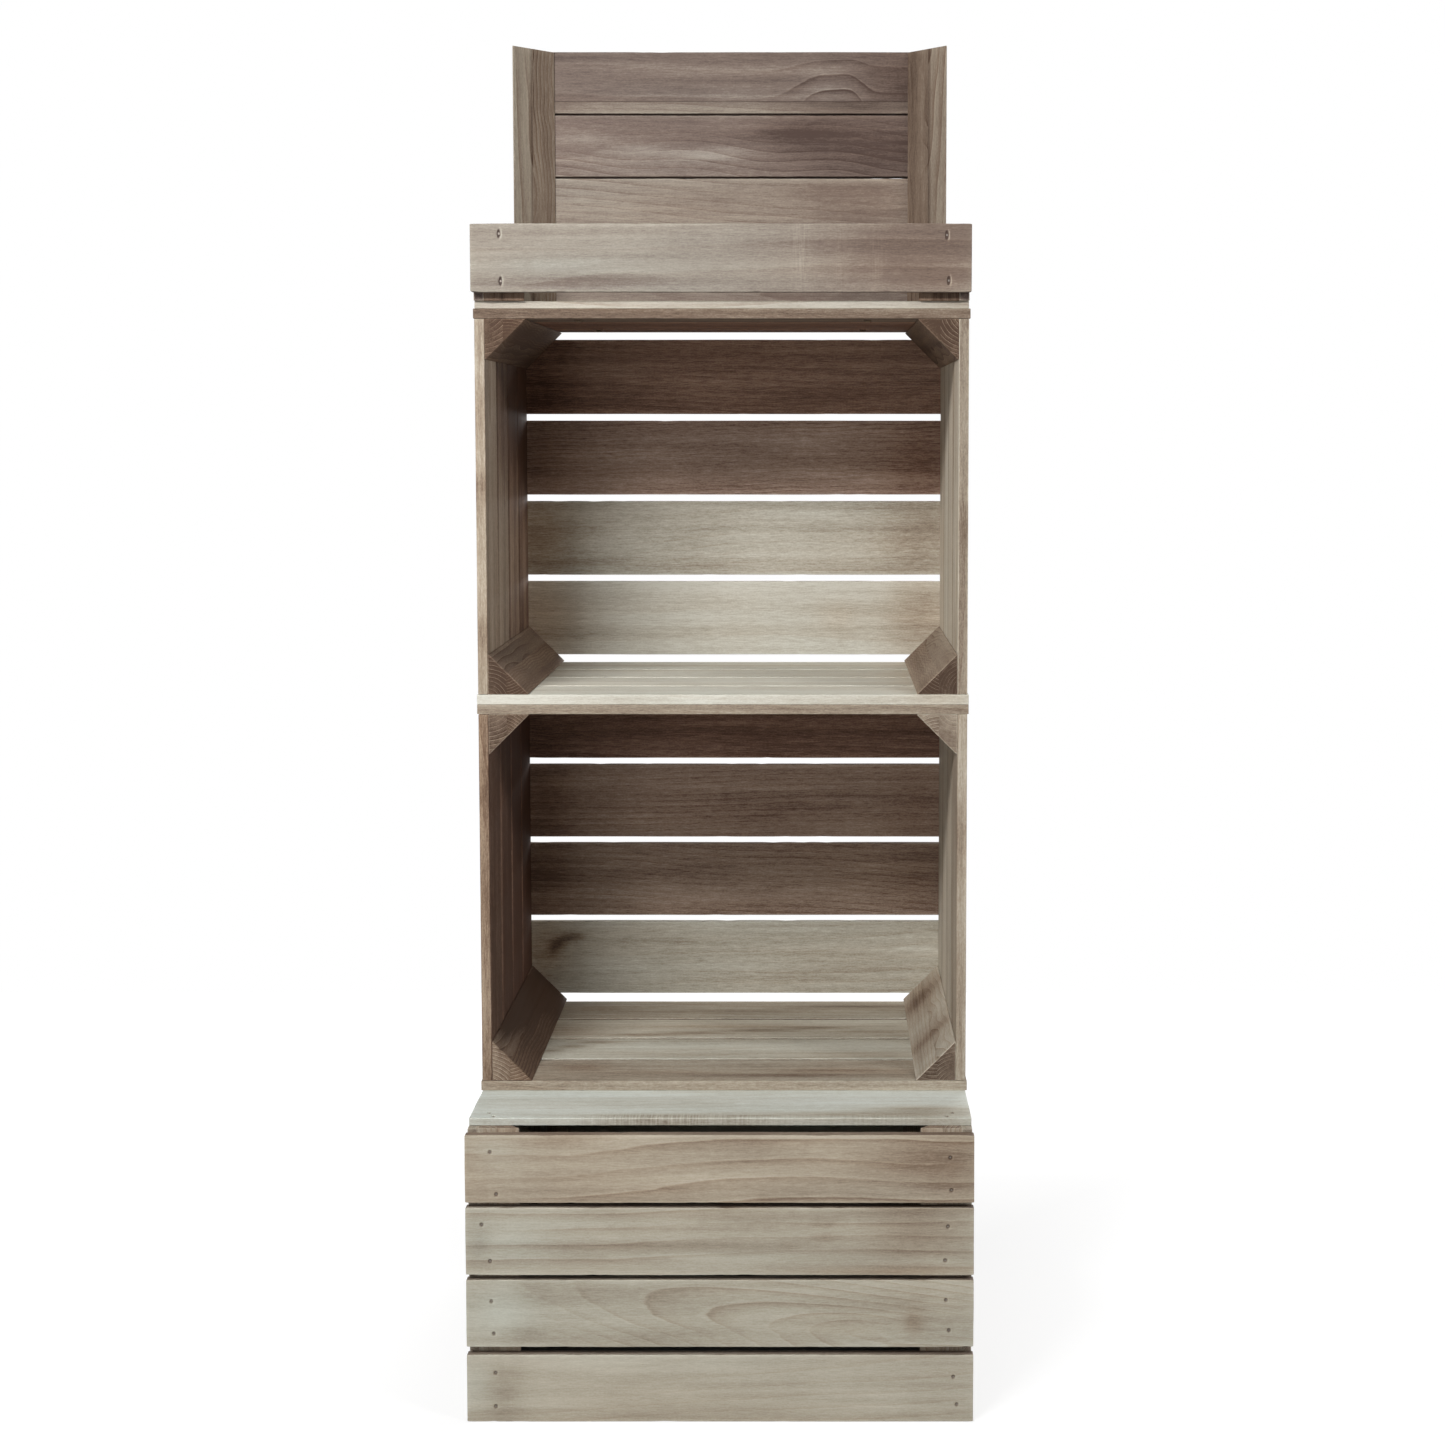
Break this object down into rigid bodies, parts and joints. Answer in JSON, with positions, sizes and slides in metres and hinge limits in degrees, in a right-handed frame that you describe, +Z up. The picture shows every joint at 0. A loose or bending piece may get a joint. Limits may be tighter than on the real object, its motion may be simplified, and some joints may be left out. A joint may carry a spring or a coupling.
{
  "type": "crate display stand",
  "caption": "Free-standing display stand of stacked slatted wooden crates: an upturned plinth, shelf crates on their sides with open mouths, and a low-fronted tray on top.",
  "frame": {"origin": "on the floor, under the middle of the plinth: bottom centre of the bounding box", "axes": "+X to the right seen from the front, -Y out of the open front, +Z up"},
  "size_m": [0.5, 0.4, 1.4],
  "materials": {
    "plinth_wood": "weathered, matt, washed grey-beige",
    "ledge_wood": "weathered, matt, washed grey-beige",
    "shelf_wood": "weathered, matt, washed grey-beige",
    "back_wood": "weathered, matt, washed grey-beige",
    "tray_wood": "weathered, matt, washed grey-beige",
    "post_wood": "weathered, matt, washed grey-beige",
    "brad_wire": "dull, dark with age",
    "screw_steel": "plain zinc"
  },
  "bodies": {
    "root": {"joining_screws": "screw_steel", "lower_shelf_back_slat_1": "back_wood", "lower_shelf_back_slat_2": "back_wood", "lower_shelf_back_slat_3": "back_wood", "lower_shelf_back_slat_4": "back_wood", "lower_shelf_bottom_left_post": "post_wood", "lower_shelf_bottom_right_post": "post_wood", "lower_shelf_brads": "brad_wire", "lower_shelf_ceiling_slats": "shelf_wood", "lower_shelf_floor_slats": "shelf_wood", "lower_shelf_left_end_boards": "shelf_wood", "lower_shelf_right_end_boards": "shelf_wood", "lower_shelf_top_left_post": "post_wood", "lower_shelf_top_right_post": "post_wood", "plinth_back_left_post": "post_wood", "plinth_back_right_post": "post_wood", "plinth_back_slats": "plinth_wood", "plinth_brads": "brad_wire", "plinth_front_left_post": "post_wood", "plinth_front_right_post": "post_wood", "plinth_front_slat_1": "plinth_wood", "plinth_front_slat_2": "plinth_wood", "plinth_front_slat_3": "plinth_wood", "plinth_front_slat_4": "plinth_wood", "plinth_left_end_boards": "plinth_wood", "plinth_right_end_boards": "plinth_wood", "plinth_top_board_1": "ledge_wood", "plinth_top_board_2": "plinth_wood", "plinth_top_board_3": "plinth_wood", "plinth_top_board_4": "plinth_wood", "tray_back_left_post": "post_wood", "tray_back_right_post": "post_wood", "tray_back_slat_1": "tray_wood", "tray_back_slat_2": "tray_wood", "tray_back_slat_3": "tray_wood", "tray_back_slat_4": "tray_wood", "tray_base_slat_1": "tray_wood", "tray_base_slat_2": "tray_wood", "tray_base_slat_3": "tray_wood", "tray_brads": "brad_wire", "tray_front_left_post": "post_wood", "tray_front_right_post": "post_wood", "tray_front_slat": "tray_wood", "tray_left_end_board": "tray_wood", "tray_right_end_board": "tray_wood", "upper_shelf_back_slat_1": "back_wood", "upper_shelf_back_slat_2": "back_wood", "upper_shelf_back_slat_3": "back_wood", "upper_shelf_back_slat_4": "back_wood", "upper_shelf_bottom_left_post": "post_wood", "upper_shelf_bottom_right_post": "post_wood", "upper_shelf_brads": "brad_wire", "upper_shelf_ceiling_slats": "shelf_wood", "upper_shelf_floor_slats": "shelf_wood", "upper_shelf_left_end_boards": "shelf_wood", "upper_shelf_right_end_boards": "shelf_wood", "upper_shelf_top_left_post": "post_wood", "upper_shelf_top_right_post": "post_wood"}
  },
  "joints": []
}
